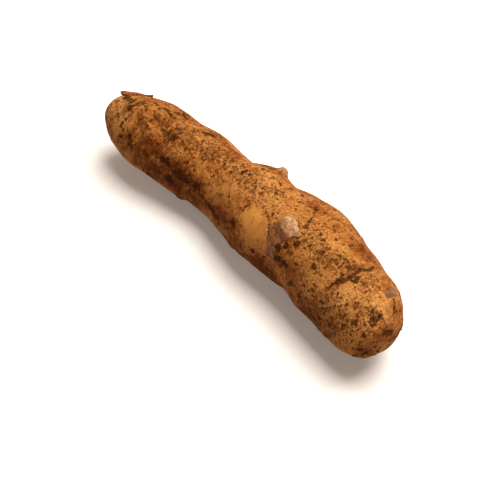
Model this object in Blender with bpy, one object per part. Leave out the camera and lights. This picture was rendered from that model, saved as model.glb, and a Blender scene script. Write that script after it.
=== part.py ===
"""A fingerling potato as it was dug, lying on a level surface.

Metres, +Z up. +X runs along the tuber, from the stem end (-X), where it hung
from its stolon, to the rose end (+X), where most of its eyes are. The tuber is
bent in the horizontal plane and rests on a small flat spot under its weight.
The origin is on that surface, in the middle of the tuber's box.

A place on the skin is given as (x, angle): x in millimetres along the tuber,
and the angle in degrees round it, from +Y (0) over the top, +Z (90), to -Y (180).
"""

import math

import bmesh
import bpy
import numpy as np
from mathutils import Matrix, Vector

MM = 0.001
NAME = "potato"

# The tuber
LENGTH = 140.0
REST_CUT = 0.6  # how deep the resting spot is pressed into the round underside
# One row for each section of the tuber that sets its form, in mm:
# x, sideways place of the middle, half width, half height, height of the underside
SECTIONS = (
    (-70, -5.5, 16.0, 15.4, 2.6),
    (-56, -3.7, 16.0, 15.4, 1.2),
    (-42, -1.2, 14.7, 14.2, 0.6),
    (-30, 1.2, 13.6, 13.2, 0.2),
    (-18, 2.2, 12.5, 12.3, 0.0),
    (-7, 2.0, 14.4, 13.9, 0.0),
    (6, 1.0, 15.4, 14.9, 0.0),
    (20, 1.6, 16.3, 15.7, 0.0),
    (36, 0.0, 15.9, 15.5, 0.3),
    (52, -3.4, 15.1, 14.7, 1.5),
    (70, -6.6, 14.8, 14.3, 3.4),
)
SKIN_RADIUS = 15.0  # of a section on average, where lengths round the tuber are meant
END_RADIUS = 10.0  # the same near the stem end
STEM_END_POWER = 3.4  # a long taper
ROSE_END_POWER = 8.7  # a blunt, round end

# Broad swellings and dents: x, angle, height, reach along, reach round (mm)
SWELLS = (
    (-60, 205, 0.3, 8.0, 9.0),
    (-50, 38, 0.5, 6.0, 8.0),
    (-40, 34, -0.6, 3.5, 7.0),
    (-28, 110, 0.5, 6.0, 8.0),
    (-22, 300, 0.9, 9.0, 8.0),
    (-16, 258, 0.6, 9.0, 6.0),
    (-13, 38, -0.6, 4.0, 7.0),
    (-4, 37, 0.9, 3.5, 5.0),
    (6, 33, -0.7, 4.0, 7.0),
    (12, 340, 0.8, 8.0, 9.0),
    (20, 260, 0.5, 10.0, 6.0),
    (24, 28, 0.5, 8.0, 9.0),
    (26, 205, -1.1, 4.5, 9.0),
    (38, 310, -0.9, 7.0, 8.0),
    (43, 90, -0.5, 4.0, 10.0),
    (59, 19, 0.5, 5.0, 8.0),
    (63, 218, 0.6, 5.0, 8.0),
)
# Uneven growth all over the skin: height, waves along, waves round, start in degrees
WAVES = (
    (0.16, 5.0, 2, 20),
    (0.12, 8.0, 3, 140),
    (0.08, 13.0, 4, 250),
)

# The eyes: x, angle, turn, length of the brow, how far it bows towards the stem end,
# its height, and the depth of the hollow on its other side, all but the angles in mm.
# An eye with no turn has its brow across the tuber. The eyes stand in a spiral,
# closer together towards the rose end.
EYES = (
    (-58, 262, 5, 9.0, 1.4, 0.4, 0.6),
    (-49, 110, -80, 8.0, 0.6, 0.4, 0.8),
    (-46.5, 76, -82, 7.0, 0.5, 0.8, 0.7),
    (-42, 58, -60, 5.0, 0.4, 0.4, 0.6),
    (-40, 318, -8, 8.0, 1.3, 0.6, 0.7),
    (-31.5, 62, 60, 7.0, 0.6, 0.6, 0.6),
    (-27, 222, 0, 9.0, 1.4, 0.5, 0.6),
    (-13, 350, 10, 8.0, 1.3, 0.5, 0.7),
    (0, 117, -16, 7.0, 0.8, 0.4, 0.6),
    (2, 215, -12, 9.0, 1.4, 0.4, 0.6),
    (4.5, 61, 54, 6.0, 0.8, 0.5, 0.7),
    (18, 318, 6, 10.0, 1.6, 0.6, 0.9),
    (23, 86, -17, 8.0, 0.8, 0.4, 0.6),
    (33, 232, 8, 10.0, 1.6, 0.6, 0.7),
    (41, 350, -6, 10.0, 1.6, 0.6, 0.8),
    (48, 95, 10, 19.0, 1.0, 1.0, 1.0),
    (52, 190, 5, 9.0, 1.4, 0.5, 0.6),
    (56, 285, 0, 10.0, 1.6, 0.6, 0.8),
    (63, 345, 12, 8.0, 1.3, 0.5, 0.7),
    (64.5, 101, 68, 8.0, 0.8, 0.4, 0.8),
    (65, 60, 36, 6.0, 0.8, 0.5, 0.7),
    (66, 240, 0, 7.0, 1.0, 0.4, 0.6),
)
BROW_WIDTH = 1.5
HOLLOW_WIDTH = 1.7
HOLLOW_OFFSET = 2.2  # from the brow, towards the rose end

# The navel in the tip of the stem end, where the stolon grew in
NAVEL_DEPTH = 0.9
NAVEL_REACH = 2.8

# The small bud on the upper side: its place, and half its length, girth and height
BUD_PLACE = (-1.6, 38)
BUD_SIZE = (1.9, 2.7, 2.2)
BUD_SINK = 0.6
BUD_FLARE = 0.5  # how much wider its foot is

# The torn dry end of the stolon, which lies on the skin between two places
STOLON_TIP = (-68.2, 72)
STOLON_ROOT = (-57.4, 43)
STOLON_HALF_WIDTH = 1.3
STOLON_HALF_THICK = 0.9
STOLON_SINK = 0.2
STOLON_TIP_LIFT = 0.9
STOLON_BLUNT = 0.45  # how blunt its two ends are: 1 is an egg, near 0 a cut rod

# Scraps of loose skin: corners as places on the skin, and how far each scrap stands proud
PEELED_SCRAP = (
    (13.6, 124),
    (14.2, 113),
    (17.0, 104),
    (20.4, 101),
    (24.0, 104),
    (26.8, 111),
    (24.4, 119),
    (22.6, 129),
    (22.4, 142),
    (20.8, 155),
    (18.2, 156),
    (16.2, 142),
)
PEELED_PROUD = 0.55
ROSE_SCRAP = (
    (58.6, 55),
    (59.6, 47),
    (61.6, 42),
    (63.2, 46),
    (62.6, 53),
    (60.6, 58),
)
ROSE_PROUD = 0.45
SCRAP_SINK = 0.7

# How finely the solid is divided
RINGS = 88
SIDES = 54
SCRAP_RINGS = 10
SCRAP_SIDES = 24


def through(x, places, values):
    """A smooth curve through values at places, read at x."""
    places = np.asarray(places, float)
    values = np.asarray(values, float)
    slopes = np.gradient(values, places)
    left = np.clip(np.searchsorted(places, x) - 1, 0, len(places) - 2)
    step = places[left + 1] - places[left]
    t = np.clip((x - places[left]) / step, 0.0, 1.0)
    start = (2 * t**3 - 3 * t**2 + 1) * values[left]
    end = (3 * t**2 - 2 * t**3) * values[left + 1]
    bend = (t**3 - 2 * t**2 + t) * slopes[left] + (t**3 - t**2) * slopes[left + 1]
    return start + end + bend * step


def section(x):
    """The middle (y, z) and the half width and height of the section at x."""
    column = np.array(SECTIONS, float).T
    side, width, height, under = (through(x, column[0], column[i]) for i in (1, 2, 3, 4))
    return side, under + height, width, height


def end_rounding(x):
    """1 along the tuber, falling to 0 in a round end at each tip."""
    share = np.clip(np.abs(x) / (LENGTH / 2), 0.0, 1.0)
    power = np.where(x < 0, STEM_END_POWER, ROSE_END_POWER)
    return np.sqrt(np.clip(1 - share**power, 0.0, None))


def apart(x, angle, at_x, at_angle):
    """How far (x, angle) is from a place: along the tuber and round it, in mm."""
    turned = (angle - math.radians(at_angle) + math.pi) % (2 * math.pi) - math.pi
    radius = SKIN_RADIUS * np.clip(end_rounding(x), 0.2, 1.0)
    return x - at_x, radius * turned


def swells(x, angle):
    """Height of the broad swellings and of the uneven growth."""
    height = np.zeros_like(x)
    for at_x, at_angle, top, reach, girth in SWELLS:
        along, across = apart(x, angle, at_x, at_angle)
        height += top * np.exp(-((along / reach) ** 2) - (across / girth) ** 2)
    for top, waves, turns, start in WAVES:
        phase = 2 * math.pi * waves * x / LENGTH + math.radians(start)
        height += top * np.sin(phase + turns * angle)
    return height


def eyes(x, angle):
    """Height of the eyes: a brow like an arch, a hollow beside it and a low bud in that."""
    height = np.zeros_like(x)
    for at_x, at_angle, turn, length, bow, brow, hollow in EYES:
        along, across = apart(x, angle, at_x, at_angle)
        facing = math.radians(turn)
        forward = along * math.cos(facing) + across * math.sin(facing)
        sideways = across * math.cos(facing) - along * math.sin(facing)
        reach = 2 * sideways / length
        arch = forward + bow * (1 - reach**2)
        fade = np.exp(-(reach**4))
        height += brow * fade * np.exp(-((arch / BROW_WIDTH) ** 2))
        dip = (arch - HOLLOW_OFFSET) / HOLLOW_WIDTH
        height -= hollow * fade * np.exp(-(dip**2))
        tip = (forward + bow - HOLLOW_OFFSET) ** 2 + sideways**2
        height += 0.5 * hollow * np.exp(-tip)
    return height


def skin(x, angle, proud=0.0):
    """Points on the skin in mm, or as far above it as proud says."""
    x = np.asarray(x, float)
    angle = np.asarray(angle, float)
    side, middle, width, height = section(x)
    rounding = end_rounding(x)
    relief = (swells(x, angle) + eyes(x, angle)) * np.clip(rounding * 1.6, 0.0, 1.0)
    out = relief + proud
    y = side + (width * rounding + out) * np.cos(angle)
    z = middle + (height * rounding + out) * np.sin(angle)
    from_tip = np.where(x < 0, width * rounding, LENGTH)
    navel = NAVEL_DEPTH * np.exp(-((from_tip / NAVEL_REACH) ** 2))
    return np.stack([x + navel, y, z], axis=-1)


def spaced_rings():
    """x of each ring, so that the rings are evenly far apart along the skin."""
    x = -LENGTH / 2 * np.cos(np.linspace(0.0, math.pi, 2001))
    radius = section(x)[3] * end_rounding(x)
    steps = np.hypot(np.diff(x), np.diff(radius))
    run = np.concatenate([[0.0], np.cumsum(steps)])
    return np.interp(np.linspace(0.0, run[-1], RINGS + 1), run, x)


def make_body():
    """The tuber: a sphere with its poles at the two ends, drawn out onto the skin."""
    bm = bmesh.new()
    poles_on_x = Matrix.Rotation(math.radians(90), 4, "Y")
    bmesh.ops.create_uvsphere(
        bm, u_segments=SIDES, v_segments=RINGS, radius=1.0, matrix=poles_on_x
    )
    place = np.array([vert.co for vert in bm.verts])
    latitude = np.arccos(np.clip(-place[:, 0], -1.0, 1.0))
    ring = np.rint(RINGS * latitude / math.pi).astype(int)
    angle = np.arctan2(place[:, 2], place[:, 1])
    points = skin(spaced_rings()[ring], angle) * MM
    for vert, point in zip(bm.verts, points):
        vert.co = point
    return bm


def press_resting_spot(bm, height):
    """Cuts the underside off flat at a height, and closes it."""
    whole = bm.verts[:] + bm.edges[:] + bm.faces[:]
    cut = bmesh.ops.bisect_plane(
        bm, geom=whole, plane_co=(0, 0, height), plane_no=(0, 0, -1), clear_outer=True
    )
    rim = [item for item in cut["geom_cut"] if isinstance(item, bmesh.types.BMEdge)]
    bmesh.ops.holes_fill(bm, edges=rim, sides=0)


def new_object(name, bm, drop, material, collection):
    """An object from a bmesh, let down by the drop onto the surface."""
    bmesh.ops.translate(bm, verts=bm.verts, vec=(0, 0, -drop))
    bmesh.ops.recalc_face_normals(bm, faces=bm.faces)
    mesh = bpy.data.meshes.new(name)
    bm.to_mesh(mesh)
    bm.free()
    mesh.materials.append(material)
    made = bpy.data.objects.new(name, mesh)
    collection.objects.link(made)
    return made


def ball(sides, rings):
    """A unit sphere with its poles on Z."""
    bm = bmesh.new()
    bmesh.ops.create_uvsphere(bm, u_segments=sides, v_segments=rings, radius=1.0)
    return bm


def make_bud():
    """The bud: a small dome with a spreading foot that is sunk into the skin."""
    bm = ball(14, 10)
    x, angle = BUD_PLACE
    half_length, half_girth, height = BUD_SIZE
    for vert in bm.verts:
        spread = 1 + BUD_FLARE * max(0.0, 0.4 - vert.co.z)
        along = x + spread * vert.co.x * half_length
        turn = math.radians(angle) + spread * vert.co.y * half_girth / SKIN_RADIUS
        proud = vert.co.z * height - BUD_SINK
        vert.co = Vector(skin(along, turn, proud)) * MM
    return bm


def make_stolon():
    """The dry end of the stolon: a flat tongue along the skin with its tip lifted."""
    bm = ball(10, 14)
    for vert in bm.verts:
        share = (vert.co.z + 1) / 2
        x = STOLON_TIP[0] + share * (STOLON_ROOT[0] - STOLON_TIP[0])
        angle = STOLON_TIP[1] + share * (STOLON_ROOT[1] - STOLON_TIP[1])
        radius = math.hypot(vert.co.x, vert.co.y)
        fuller = radius ** (STOLON_BLUNT - 1) if radius > 0.01 else 1.0
        lift = STOLON_TIP_LIFT * (1 - share) ** 2 - STOLON_SINK
        ragged = 0.8 + 0.2 * math.sin(11 * share)
        proud = lift + STOLON_HALF_THICK * ragged * fuller * vert.co.x
        turn = math.radians(angle) + fuller * vert.co.y * STOLON_HALF_WIDTH / END_RADIUS
        vert.co = Vector(skin(x, turn, proud)) * MM
    return bm


def make_scrap(corners, proud):
    """A scrap of loose skin: a flat ball whose rim runs through the corners."""
    bm = ball(SCRAP_SIDES, SCRAP_RINGS)
    corner = np.array(corners, float)
    middle = corner.mean(axis=0)
    loop = np.vstack([corner[-2:], corner, corner[:3]])
    turns = np.arange(len(loop)) - 2.0
    for vert in bm.verts:
        rim = math.hypot(vert.co.x, vert.co.y)
        turn = math.atan2(vert.co.y, vert.co.x) / (2 * math.pi) % 1.0 * len(corner)
        edge_x = through(turn, turns, loop[:, 0])
        edge_angle = through(turn, turns, loop[:, 1])
        x = middle[0] + rim * (edge_x - middle[0])
        angle = math.radians(middle[1] + rim * (edge_angle - middle[1]))
        above = proud * (1 - 0.7 * rim**8) if vert.co.z > 0 else -SCRAP_SINK
        vert.co = Vector(skin(x, angle, above)) * MM
    return bm


def grow_together(body, grown):
    """Joins what grows on the skin to the tuber, in one closed solid."""
    union = body.modifiers.new("grown_on", "BOOLEAN")
    union.operation = "UNION"
    union.solver = "EXACT"
    union.operand_type = "COLLECTION"
    union.collection = grown
    ready = body.evaluated_get(bpy.context.evaluated_depsgraph_get())
    whole = bpy.data.meshes.new_from_object(ready)
    body.modifiers.clear()
    body.data = whole
    for piece in list(grown.objects):
        bpy.data.objects.remove(piece)
    bpy.data.collections.remove(grown)


def potato_skin():
    """Golden-brown skin with a film of dry soil."""
    material = bpy.data.materials.new("potato_skin")
    material.use_nodes = True
    shader = material.node_tree.nodes["Principled BSDF"]
    shader.inputs["Base Color"].default_value = (0.40, 0.19, 0.06, 1)
    shader.inputs["Roughness"].default_value = 0.62
    shader.inputs["Metallic"].default_value = 0.0
    return material


def main():
    for old in list(bpy.data.objects):
        bpy.data.objects.remove(old)
    home = bpy.data.collections.new(NAME)
    grown = bpy.data.collections.new("grown_on")
    bpy.context.scene.collection.children.link(home)
    bpy.context.scene.collection.children.link(grown)

    material = potato_skin()
    tuber = make_body()
    drop = min(vert.co.z for vert in tuber.verts) + REST_CUT * MM
    press_resting_spot(tuber, drop)
    body = new_object(NAME, tuber, drop, material, home)
    new_object("bud", make_bud(), drop, material, grown)
    new_object("stolon", make_stolon(), drop, material, grown)
    peeled = make_scrap(PEELED_SCRAP, PEELED_PROUD)
    new_object("peeled_scrap", peeled, drop, material, grown)
    rose = make_scrap(ROSE_SCRAP, ROSE_PROUD)
    new_object("rose_scrap", rose, drop, material, grown)
    grow_together(body, grown)
    body.data.shade_smooth()
    body.data.set_sharp_from_angle(angle=math.radians(50))


main()
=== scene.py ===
# %% [markdown]
# # A fingerling potato, as it was dug
# A fingerling is a long, slim potato. This one lies on a pale table just as it came out
# of the ground: golden-brown skin under a film of dry soil, a torn, dry end of the stolon
# that it hung from, one small bud, and two scraps of loose, peeling skin.
# The plain solid of the tuber is made and packed before this file runs. It is in metres,
# with +Z up and +X towards the rose end, where most of the eyes are. This file keeps that
# form and adds what only a close look shows: wrinkles, creases, crumbs and colours.

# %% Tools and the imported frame
import math
import random

import bmesh
import bpy
import numpy as np
from mathutils import Euler, Matrix, Vector, noise
from mathutils.bvhtree import BVHTree


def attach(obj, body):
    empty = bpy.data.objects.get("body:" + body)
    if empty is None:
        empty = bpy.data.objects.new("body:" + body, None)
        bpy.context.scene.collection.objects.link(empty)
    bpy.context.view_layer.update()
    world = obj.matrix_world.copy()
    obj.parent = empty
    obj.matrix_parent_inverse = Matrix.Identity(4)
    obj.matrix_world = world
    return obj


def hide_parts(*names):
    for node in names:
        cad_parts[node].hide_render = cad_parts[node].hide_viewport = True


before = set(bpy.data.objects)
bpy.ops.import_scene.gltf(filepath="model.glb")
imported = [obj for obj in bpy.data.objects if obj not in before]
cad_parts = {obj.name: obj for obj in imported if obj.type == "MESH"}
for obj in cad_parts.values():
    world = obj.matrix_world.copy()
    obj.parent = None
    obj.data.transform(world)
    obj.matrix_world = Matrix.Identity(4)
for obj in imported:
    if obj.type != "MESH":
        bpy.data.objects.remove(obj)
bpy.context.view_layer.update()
MM = 0.001

# %% [markdown]
# ## The camera
# The photograph looks down on the tuber from about 50 degrees above the table, across
# its length, with a long lens, so that the far end is hardly smaller than the near one.
# The camera looks a little past the tuber's middle, because the tuber isn't in the
# middle of the photograph.

# %% Camera
AZIMUTH = math.radians(47.0)
ELEVATION = math.radians(50.5)
LENS = 132.0
SENSOR_WIDTH = 36.0
DISTANCE = 0.6
LOOK_AT = Vector((0, 0, 0.0155))
AIM_RIGHT = -5.55 * MM
AIM_UP = -9.5 * MM
ROLL = math.radians(0.56)


def add_object(name, data):
    """A new object in the scene."""
    made = bpy.data.objects.new(name, data)
    bpy.context.scene.collection.objects.link(made)
    return made


right = Vector((math.cos(AZIMUTH), math.sin(AZIMUTH), 0))
back = Vector((
    math.sin(AZIMUTH) * math.cos(ELEVATION),
    -math.cos(AZIMUTH) * math.cos(ELEVATION),
    math.sin(ELEVATION),
))
right.rotate(Matrix.Rotation(ROLL, 3, back))
up = back.cross(right)
camera = add_object("camera", bpy.data.cameras.new("camera"))
camera.data.lens = LENS
camera.data.sensor_width = SENSOR_WIDTH
camera.matrix_world = Matrix((right, up, back)).transposed().to_4x4()
camera.location = LOOK_AT + back * DISTANCE + right * AIM_RIGHT + up * AIM_UP
bpy.context.scene.camera = camera
print("camera at", [round(v, 3) for v in camera.location])

# %% [markdown]
# ## Table and light
# The light is plain studio light. One large, soft lamp hangs above the tuber and a
# little behind it, so that the top of the skin is bright and the near side falls into
# shade, and a warm, dim room fills that shade a little. The table is a large pale sheet
# that glows faintly, like paper on a light box, so that it stays nearly white.

# %% Table, lamp and room
LAMP_FROM = Vector((0.02, 0.37, 0.93)).normalized()
LAMP_DISTANCE = 0.9
LAMP_SIZE = 0.80
LAMP_POWER = 18.0
LAMP_COLOUR = (1.0, 0.97, 0.93)
ROOM_COLOUR = (1.0, 0.66, 0.38, 1)
ROOM_STRENGTH = 0.20
TABLE_SIZE = 2.0
PAPER_LOOK = {
    "Base Color": (0.64, 0.63, 0.62, 1),
    "Roughness": 0.9,
    "Emission Color": (1.0, 0.95, 0.90, 1),
    "Emission Strength": 0.18,
}


def add_mesh(name, made):
    """A new object with the mesh of a bmesh, which is then freed."""
    piece = add_object(name, bpy.data.meshes.new(name))
    made.to_mesh(piece.data)
    made.free()
    return piece


lamp = add_object("key", bpy.data.lights.new("key", "AREA"))
lamp.data.size = LAMP_SIZE
lamp.data.energy = LAMP_POWER
lamp.data.color = LAMP_COLOUR
lamp.location = LAMP_FROM * LAMP_DISTANCE
lamp.rotation_euler = LAMP_FROM.to_track_quat("Z", "Y").to_euler()

room = bpy.data.worlds.new("room")
bpy.context.scene.world = room
room.use_nodes = True
background = room.node_tree.nodes["Background"]
background.inputs["Color"].default_value = ROOM_COLOUR
background.inputs["Strength"].default_value = ROOM_STRENGTH
bpy.context.scene.view_settings.view_transform = "Standard"
bpy.context.scene.view_settings.look = "Medium High Contrast"

sheet = bmesh.new()
bmesh.ops.create_grid(sheet, x_segments=1, y_segments=1, size=TABLE_SIZE)
table = add_mesh("table", sheet)
paper = bpy.data.materials.new("pale_paper")
paper.use_nodes = True
for socket, value in PAPER_LOOK.items():
    paper.node_tree.nodes["Principled BSDF"].inputs[socket].default_value = value
table.data.materials.append(paper)

# %% [markdown]
# ## The form of the tuber
# A tuber has no flat side and no edge, so it is described the way a boat's hull is: by a
# few sections, with a smooth curve through them. A place on the skin is a pair, (x,
# angle): x in millimetres along the tuber, and the angle round it, in degrees, from the
# far side (+Y, 0) over the top (+Z, 90) to the near side (-Y, 180).
# Swellings, dents and eyes are then heights above that smooth hull. An eye is the scar
# of a small leaf: a brow like a shallow arch, and beside it a hollow where buds sit.
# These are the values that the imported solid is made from, so the fine skin below lies
# on the solid.

# %% Sections, swellings and eyes, in mm and degrees
LENGTH = 140.0
REST_CUT = 0.6
# x, sideways place of the middle, half width, half height, height of the underside
SECTIONS = (
    (-70, -5.5, 16, 15.4, 2.6),
    (-56, -3.7, 16, 15.4, 1.2),
    (-42, -1.2, 14.7, 14.2, 0.6),
    (-30, 1.2, 13.6, 13.2, 0.2),
    (-18, 2.2, 12.5, 12.3, 0),
    (-7, 2, 14.4, 13.9, 0),
    (6, 1, 15.4, 14.9, 0),
    (20, 1.6, 16.3, 15.7, 0),
    (36, 0, 15.9, 15.5, 0.3),
    (52, -3.4, 15.1, 14.7, 1.5),
    (70, -6.6, 14.8, 14.3, 3.4),
)
SKIN_RADIUS = 15.0
STEM_END_POWER = 3.4
ROSE_END_POWER = 8.7
# x, angle, height, reach along, reach round
SWELLS = (
    (-60, 205, 0.3, 8, 9),
    (-50, 38, 0.5, 6, 8),
    (-40, 34, -0.6, 3.5, 7),
    (-28, 110, 0.5, 6, 8),
    (-22, 300, 0.9, 9, 8),
    (-16, 258, 0.6, 9, 6),
    (-13, 38, -0.6, 4, 7),
    (-4, 37, 0.9, 3.5, 5),
    (6, 33, -0.7, 4, 7),
    (12, 340, 0.8, 8, 9),
    (20, 260, 0.5, 10, 6),
    (24, 28, 0.5, 8, 9),
    (26, 205, -1.1, 4.5, 9),
    (38, 310, -0.9, 7, 8),
    (43, 90, -0.5, 4, 10),
    (59, 19, 0.5, 5, 8),
    (63, 218, 0.6, 5, 8),
)
# height, waves along, waves round, start in degrees
WAVES = (
    (0.16, 5, 2, 20),
    (0.12, 8, 3, 140),
    (0.08, 13, 4, 250),
)
# x, angle, turn, length of the brow, its bow, its height, depth of the hollow
EYES = (
    (-58, 262, 5, 9, 1.4, 0.4, 0.6),
    (-49, 110, -80, 8, 0.6, 0.4, 0.8),
    (-46.5, 76, -82, 7, 0.5, 0.8, 0.7),
    (-42, 58, -60, 5, 0.4, 0.4, 0.6),
    (-40, 318, -8, 8, 1.3, 0.6, 0.7),
    (-31.5, 62, 60, 7, 0.6, 0.6, 0.6),
    (-27, 222, 0, 9, 1.4, 0.5, 0.6),
    (-13, 350, 10, 8, 1.3, 0.5, 0.7),
    (0, 117, -16, 7, 0.8, 0.4, 0.6),
    (2, 215, -12, 9, 1.4, 0.4, 0.6),
    (4.5, 61, 54, 6, 0.8, 0.5, 0.7),
    (18, 318, 6, 10, 1.6, 0.6, 0.9),
    (23, 86, -17, 8, 0.8, 0.4, 0.6),
    (33, 232, 8, 10, 1.6, 0.6, 0.7),
    (41, 350, -6, 10, 1.6, 0.6, 0.8),
    (48, 95, 10, 19, 1, 1, 1),
    (52, 190, 5, 9, 1.4, 0.5, 0.6),
    (56, 285, 0, 10, 1.6, 0.6, 0.8),
    (63, 345, 12, 8, 1.3, 0.5, 0.7),
    (64.5, 101, 68, 8, 0.8, 0.4, 0.8),
    (65, 60, 36, 6, 0.8, 0.5, 0.7),
    (66, 240, 0, 7, 1, 0.4, 0.6),
)
BROW_WIDTH = 1.5
HOLLOW_WIDTH = 1.7
HOLLOW_OFFSET = 2.2
NAVEL_DEPTH = 0.9
NAVEL_REACH = 2.8

# %% [markdown]
# ## From a place to a point
# Each function below takes arrays of x and angle, one number for each point of the
# skin, and gives an array back. Heights are added up in millimetres and only then turned
# into points, so every swelling and eye follows the curve of the hull.


# %% From a place on the skin to a point
def through(x, places, values):
    """A smooth curve through values at places, read at x."""
    places = np.asarray(places, float)
    values = np.asarray(values, float)
    slopes = np.gradient(values, places)
    left = np.clip(np.searchsorted(places, x) - 1, 0, len(places) - 2)
    step = places[left + 1] - places[left]
    t = np.clip((x - places[left]) / step, 0.0, 1.0)
    start = (2 * t**3 - 3 * t**2 + 1) * values[left]
    end = (3 * t**2 - 2 * t**3) * values[left + 1]
    bend = (t**3 - 2 * t**2 + t) * slopes[left] + (t**3 - t**2) * slopes[left + 1]
    return start + end + bend * step


def section(x):
    """The middle (y, z) and the half width and height of the section at x."""
    column = np.array(SECTIONS, float).T
    side, width, height, under = (through(x, column[0], column[i]) for i in (1, 2, 3, 4))
    return side, under + height, width, height


def end_rounding(x):
    """1 along the tuber, falling to 0 in a round end at each tip."""
    share = np.clip(np.abs(x) / (LENGTH / 2), 0.0, 1.0)
    power = np.where(x < 0, STEM_END_POWER, ROSE_END_POWER)
    return np.sqrt(np.clip(1 - share**power, 0.0, None))


def apart(x, angle, at_x, at_angle):
    """How far (x, angle) is from a place: along the tuber and round it, in mm."""
    turned = (angle - math.radians(at_angle) + math.pi) % (2 * math.pi) - math.pi
    radius = SKIN_RADIUS * np.clip(end_rounding(x), 0.2, 1.0)
    return x - at_x, radius * turned


def bell(x):
    """1 at 0, falling smoothly to 0 on both sides."""
    return np.exp(-(x**2))


def swells(x, angle):
    """Height of the broad swellings and of the uneven growth."""
    height = np.zeros_like(x)
    for at_x, at_angle, top, reach, girth in SWELLS:
        along, across = apart(x, angle, at_x, at_angle)
        height += top * bell(along / reach) * bell(across / girth)
    for top, waves, turns, start in WAVES:
        phase = 2 * math.pi * waves * x / LENGTH + math.radians(start)
        height += top * np.sin(phase + turns * angle)
    return height


def eye_frame(x, angle, at_x, at_angle, turn, length, bow):
    """How far places are past an eye's arched brow, and how far out they are along it."""
    along, across = apart(x, angle, at_x, at_angle)
    facing = math.radians(turn)
    forward = along * math.cos(facing) + across * math.sin(facing)
    sideways = across * math.cos(facing) - along * math.sin(facing)
    reach = 2 * sideways / length
    return forward + bow * (1 - reach**2), forward, sideways, np.exp(-(reach**4))


def eyes(x, angle):
    """Height of the eyes: a brow, a hollow beside it and a low bud in that."""
    height = np.zeros_like(x)
    for at_x, at_angle, turn, length, bow, brow, hollow in EYES:
        arch, forward, sideways, fade = eye_frame(x, angle, at_x, at_angle, turn, length, bow)
        height += brow * fade * bell(arch / BROW_WIDTH)
        height -= hollow * fade * bell((arch - HOLLOW_OFFSET) / HOLLOW_WIDTH)
        height += 0.5 * hollow * bell(forward + bow - HOLLOW_OFFSET) * bell(sideways)
    return height


def skin(x, angle, proud=0.0):
    """Points on the skin in mm, or as far above it as proud says."""
    x = np.asarray(x, float)
    angle = np.asarray(angle, float)
    side, middle, width, height = section(x)
    rounding = end_rounding(x)
    relief = (swells(x, angle) + eyes(x, angle)) * np.clip(rounding * 1.6, 0.0, 1.0)
    out = relief + proud
    y = side + (width * rounding + out) * np.cos(angle)
    z = middle + (height * rounding + out) * np.sin(angle)
    from_tip = np.where(x < 0, width * rounding, LENGTH)
    navel = NAVEL_DEPTH * bell(from_tip / NAVEL_REACH)
    return np.stack([x + navel, y, z], axis=-1)


# %% [markdown]
# ## A fine skin over the form
# The skin is one closed surface, so it starts as a sphere with its two poles at the two
# ends of the tuber. Each ring of the sphere goes to one x and each point of a ring to
# one angle. The rings are spaced evenly along the skin, or they would crowd at the
# ends. With about 200,000 triangles a cell of the mesh is 0.4 mm wide, fine enough to
# carry real wrinkles and clots of soil as geometry.

# %% The sphere drawn out onto the skin
SIDES = 256
RINGS = 388


def even_rings(count):
    """x of each ring, so that the rings are evenly far apart along the skin."""
    x = -LENGTH / 2 * np.cos(np.linspace(0.0, math.pi, 4001))
    radius = section(x)[3] * end_rounding(x)
    run = np.concatenate([[0.0], np.cumsum(np.hypot(np.diff(x), np.diff(radius)))])
    return np.interp(np.linspace(0.0, run[-1], count + 1), run, x)


def unit_ball(sides, rings):
    """A unit sphere with its poles on X."""
    ball = bmesh.new()
    poles_on_x = Matrix.Rotation(math.radians(90), 4, "Y")
    bmesh.ops.create_uvsphere(
        ball, u_segments=sides, v_segments=rings, radius=1.0, matrix=poles_on_x
    )
    return ball


ball = unit_ball(SIDES, RINGS)
unit = np.array([vert.co for vert in ball.verts])
latitude = np.arccos(np.clip(-unit[:, 0], -1.0, 1.0))
AT_X = even_rings(RINGS)[np.rint(RINGS * latitude / math.pi).astype(int)]
AT_ANGLE = np.arctan2(unit[:, 2], unit[:, 1])

# %% [markdown]
# The bud is the one eye that has begun to grow: a small, steep dome with a spreading
# foot and a shallow hollow beside it. Both are part of the skin, so they are heights
# too, added before the skin is placed.

# %% The bud
BUD_PLACE = (-1.8, 39)
BUD_LENGTH = 1.9
BUD_GIRTH = 2.9
BUD_HEIGHT = 1.85
HOLLOW_PLACE = (2.8, 42)
HOLLOW_LENGTH = 1.9
HOLLOW_GIRTH = 3.6
HOLLOW_DEPTH = 0.65


def hump(place, length, girth, steepness):
    """1 in the middle of a dome or a hollow, 0 on the skin round it."""
    along, across = apart(AT_X, AT_ANGLE, *place)
    return np.exp(-(((along / length) ** 2 + (across / girth) ** 2) ** steepness))


def move_points(made, places):
    """Moves the points of a bmesh to places, in metres."""
    for vert, place in zip(made.verts, places):
        vert.co = place
    bmesh.ops.recalc_face_normals(made, faces=made.faces)


BUD = hump(BUD_PLACE, BUD_LENGTH, BUD_GIRTH, steepness=1.6)
hollow = hump(HOLLOW_PLACE, HOLLOW_LENGTH, HOLLOW_GIRTH, steepness=1.0)
points = skin(AT_X, AT_ANGLE, BUD_HEIGHT * BUD - HOLLOW_DEPTH * hollow)
DROP = points[:, 2].min() + REST_CUT
points[:, 2] -= DROP
move_points(ball, points * MM)
tuber = add_mesh("tuber", ball)
print("skin points", len(points), "lies", round(DROP, 2), "mm lower than it was drawn")

# %% [markdown]
# ## Uneven edges
# Nothing on a dug potato has a clean edge. Perlin noise read at each point of the skin
# gives the raggedness for soil patches and creases, and the fine relief between them.
# A size in three numbers stretches the noise: long in y and z and short in x, it makes
# the fine wrinkles that run round the tuber.


# %% Noise over the skin
def noise_over(size, octaves, seed):
    """Noise from about -1 to 1 at each point of the skin, with features of a size in mm."""
    shifted = points / np.array(size, float) + np.array([17.3, 5.1, 9.7]) * seed
    return np.array([noise.fractal(Vector(p), 1.0, 2.0, octaves) for p in shifted])


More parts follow.
